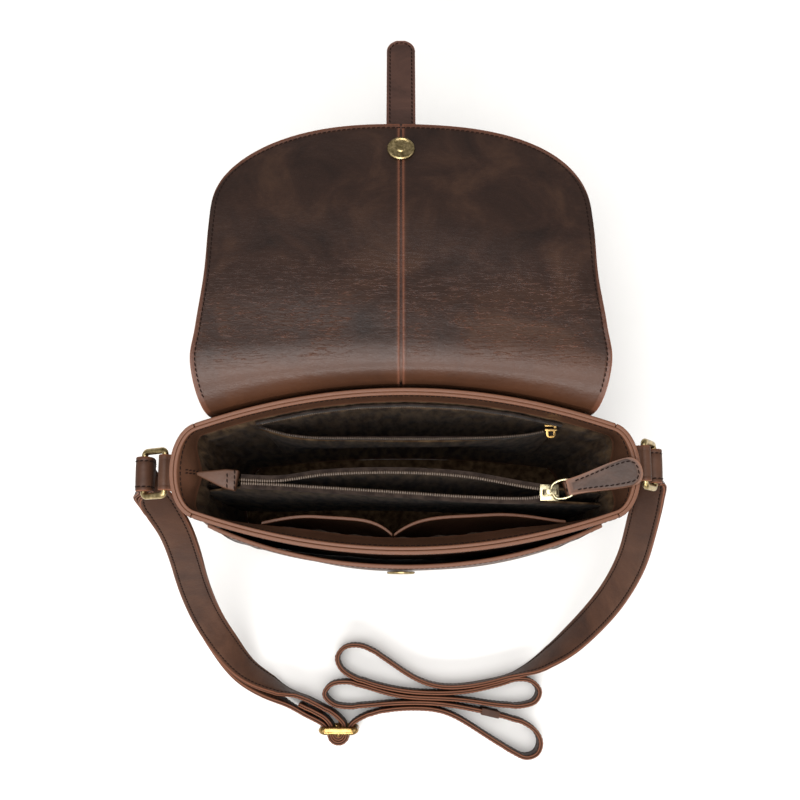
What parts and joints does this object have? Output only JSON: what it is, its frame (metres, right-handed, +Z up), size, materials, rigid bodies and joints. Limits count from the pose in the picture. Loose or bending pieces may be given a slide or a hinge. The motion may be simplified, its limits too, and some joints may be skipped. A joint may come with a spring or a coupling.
{
  "type": "shoulder bag",
  "caption": "Leather shoulder bag standing open: flap thrown back, divided lined inside with a zipped compartment and pockets, long strap on rings folded in front",
  "frame": {"origin": "middle of the base, on the surface that the bag stands on", "axes": "+Z up out of the mouth; +Y back, to the side that the flap is hinged on; +X to the right seen from the front"},
  "size_m": [0.3176, 0.4631, 0.2468],
  "materials": {
    "body_leather": "smooth oily brown leather, lighter along folded edges",
    "flap_leather": "smooth oily brown leather",
    "facing_leather": "dark brown leather with a satin shine",
    "strap_leather": "brown leather strap with stitched, lighter edges",
    "pocket_leather": "brown leather",
    "lining": "dark brown napped lining",
    "zip_tape": "woven dark brown tape",
    "antique_brass": "dark antique brass, worn bright on its edges",
    "bright_brass": "plain yellow brass"
  },
  "bodies": {
    "root": {"front_panel": "body_leather", "back_panel": "body_leather", "gusset_left": "body_leather", "gusset_right": "body_leather", "base_panel": "body_leather", "facing": "body_leather", "lining_wall": "lining", "lining_base": "lining", "front_pocket": "pocket_leather", "snap_socket": "antique_brass", "divider_back": "lining", "divider_front": "lining", "zip_tape_back": "zip_tape", "zip_tape_front": "zip_tape", "zip_end_left": "pocket_leather", "zip_end_right": "pocket_leather", "zip_slider": "antique_brass", "pull_wire": "antique_brass", "pull_tab": "strap_leather", "slip_pocket_left": "pocket_leather", "slip_pocket_right": "pocket_leather", "back_pocket": "lining", "back_zip_lower": "zip_tape", "back_zip_upper": "zip_tape", "back_zip_slider": "bright_brass", "flap": "flap_leather", "flap_facing_left": "facing_leather", "flap_facing_right": "facing_leather", "closing_tab": "flap_leather", "snap_disc": "antique_brass", "ring_tab_left": "strap_leather", "ring_tab_right": "strap_leather", "ring_left": "antique_brass", "ring_right": "antique_brass", "strap_long": "strap_leather", "strap_adjusting": "strap_leather", "strap_splice": "strap_leather", "strap_slider": "bright_brass"}
  },
  "joints": []
}
